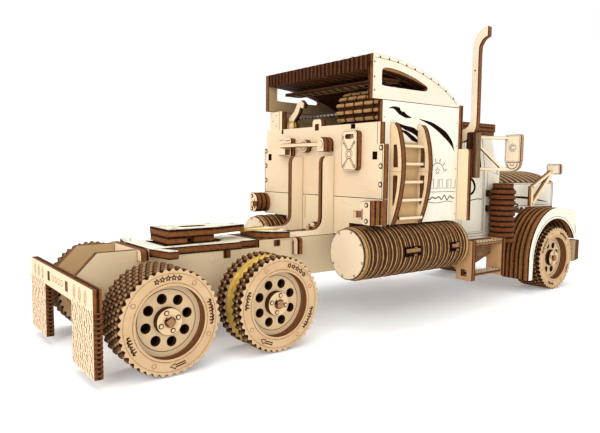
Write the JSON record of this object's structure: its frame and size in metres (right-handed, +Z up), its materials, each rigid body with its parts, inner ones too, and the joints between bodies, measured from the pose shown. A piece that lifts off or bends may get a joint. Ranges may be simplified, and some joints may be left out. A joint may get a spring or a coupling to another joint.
{
  "type": "wooden_3d_jigsaw_model",
  "caption": "Laser-cut plywood model kit of a long-nosed truck tractor with a sleeper cab, rolling and steering wheels, opening doors and hood, and a rubber-band motor drum.",
  "frame": {"origin": "centre of the assembled truck on the ground: bottom centre of the bounding box, wheels resting on z = 0", "axes": "+X toward the truck's nose, +Y toward its left side, +Z up"},
  "size_m": [0.3806, 0.1244, 0.1766],
  "materials": {
    "birch_ply": "bare laser-cut birch plywood, pale face veneer with scorched engraving",
    "scorched_edge": "stacked laser-cut ply edges, brown and matt, in alternating plies",
    "rubber": "amber latex band, satin"
  },
  "bodies": {
    "chassis": {"rear_crossmember": "birch_ply", "mid_crossmember": "birch_ply", "mudflap": "birch_ply", "deck_plate": "scorched_edge", "ramp_plate": "birch_ply", "front_axle_beam": "birch_ply", "sleeper_roof": "birch_ply", "rear_wall": "birch_ply", "rear_skirt": "birch_ply", "sleeper_floor": "birch_ply", "roof_shelf": "birch_ply", "latch_keeper": "birch_ply", "jerry_can": "birch_ply", "cab_divider": "birch_ply", "cab_shell": "birch_ply", "bumper": "birch_ply", "rail_right": "birch_ply", "sleeper_side_right": "birch_ply", "fin_right": "birch_ply", "ladder_right": "birch_ply", "fuel_tank_right": "scorched_edge", "fender_right": "scorched_edge", "marker_lamp_right": "birch_ply", "air_cleaner_right": "scorched_edge", "exhaust_right": "birch_ply", "steps_right": "birch_ply", "rail_left": "birch_ply", "sleeper_side_left": "birch_ply", "fin_left": "birch_ply", "ladder_left": "birch_ply", "fuel_tank_left": "scorched_edge", "fender_left": "scorched_edge", "marker_lamp_left": "birch_ply", "air_cleaner_left": "scorched_edge", "exhaust_left": "birch_ply", "steps_left": "birch_ply"},
    "rear_axle_set": {"rear_axle": "scorched_edge", "rear_wheel_right": "birch_ply", "rear_wheel_left": "birch_ply"},
    "drive_axle_set": {"drive_axle": "scorched_edge", "drive_gear": "birch_ply", "drive_wheel_right": "birch_ply", "drive_wheel_left": "birch_ply", "drive_band_right": "rubber", "drive_band_left": "rubber"},
    "knuckle_right": {"knuckle_right": "birch_ply"},
    "knuckle_left": {"knuckle_left": "birch_ply"},
    "front_wheel_right": {"front_wheel_right": "birch_ply"},
    "front_wheel_left": {"front_wheel_left": "birch_ply"},
    "tie_rod": {"tie_rod": "birch_ply"},
    "door_right": {"door_right": "birch_ply", "mirror_right": "birch_ply"},
    "door_left": {"door_left": "birch_ply", "mirror_left": "birch_ply"},
    "hood": {"hood": "birch_ply"},
    "fifth_wheel": {"fifth_wheel": "scorched_edge"},
    "latch_bar": {"latch_bar": "birch_ply"},
    "motor_drum": {"motor_drum": "scorched_edge"},
    "release_lever": {"release_lever": "birch_ply"}
  },
  "joints": [
    {"name": "rear_axle_spin", "type": "hinge", "parent": "chassis", "child": "rear_axle_set", "pos_m": [-0.1583, 0, 0.0235], "axis": [0, 1, 0], "continuous": true},
    {"name": "drive_axle_spin", "type": "hinge", "parent": "chassis", "child": "drive_axle_set", "pos_m": [-0.1014, 0, 0.0235], "axis": [0, 1, 0], "continuous": true},
    {"name": "steer_right", "type": "hinge", "parent": "chassis", "child": "knuckle_right", "pos_m": [0.1551, -0.034, 0.0235], "axis": [0, 0, 1], "range_deg": [-25, 25]},
    {"name": "steer_left", "type": "hinge", "parent": "chassis", "child": "knuckle_left", "pos_m": [0.1551, 0.034, 0.0235], "axis": [0, 0, 1], "range_deg": [-25, 25]},
    {"name": "front_wheel_right_spin", "type": "hinge", "parent": "knuckle_right", "child": "front_wheel_right", "pos_m": [0.1551, -0.0413, 0.0235], "axis": [0, 1, 0], "continuous": true},
    {"name": "front_wheel_left_spin", "type": "hinge", "parent": "knuckle_left", "child": "front_wheel_left", "pos_m": [0.1551, 0.0413, 0.0235], "axis": [0, 1, 0], "continuous": true},
    {"name": "tie_rod_slide", "type": "slide", "parent": "chassis", "child": "tie_rod", "axis": [0, 1, 0], "range_m": [-0.0072, 0.0072]},
    {"name": "door_right_hinge", "type": "hinge", "parent": "chassis", "child": "door_right", "pos_m": [0.082, -0.038, 0.05], "axis": [0, 0, 1], "range_deg": [0, 60]},
    {"name": "door_left_hinge", "type": "hinge", "parent": "chassis", "child": "door_left", "pos_m": [0.082, 0.038, 0.05], "axis": [0, 0, -1], "range_deg": [0, 60]},
    {"name": "hood_hinge", "type": "hinge", "parent": "chassis", "child": "hood", "pos_m": [0.185, 0, 0.06], "axis": [0, 1, 0], "range_deg": [0, 50]},
    {"name": "fifth_wheel_tilt", "type": "hinge", "parent": "chassis", "child": "fifth_wheel", "pos_m": [-0.118, 0, 0.042], "axis": [0, 1, 0], "range_deg": [-7, 7]},
    {"name": "latch_bar_turn", "type": "hinge", "parent": "chassis", "child": "latch_bar", "pos_m": [-0.0365, -0.0135, 0.1037], "axis": [1, 0, 0], "range_deg": [0, 60]},
    {"name": "motor_drum_spin", "type": "hinge", "parent": "chassis", "child": "motor_drum", "pos_m": [-0.016, 0, 0.124], "axis": [0, 1, 0], "continuous": true},
    {"name": "release_lever_swing", "type": "hinge", "parent": "chassis", "child": "release_lever", "pos_m": [-0.03, 0.033, 0.117], "axis": [1, 0, 0], "range_deg": [-10, 10]}
  ],
  "couplings": [
    {"joint": "steer_left", "follows": "steer_right", "ratio": 1},
    {"joint": "tie_rod_slide", "follows": "steer_right", "m_per_rad": -0.016}
  ]
}
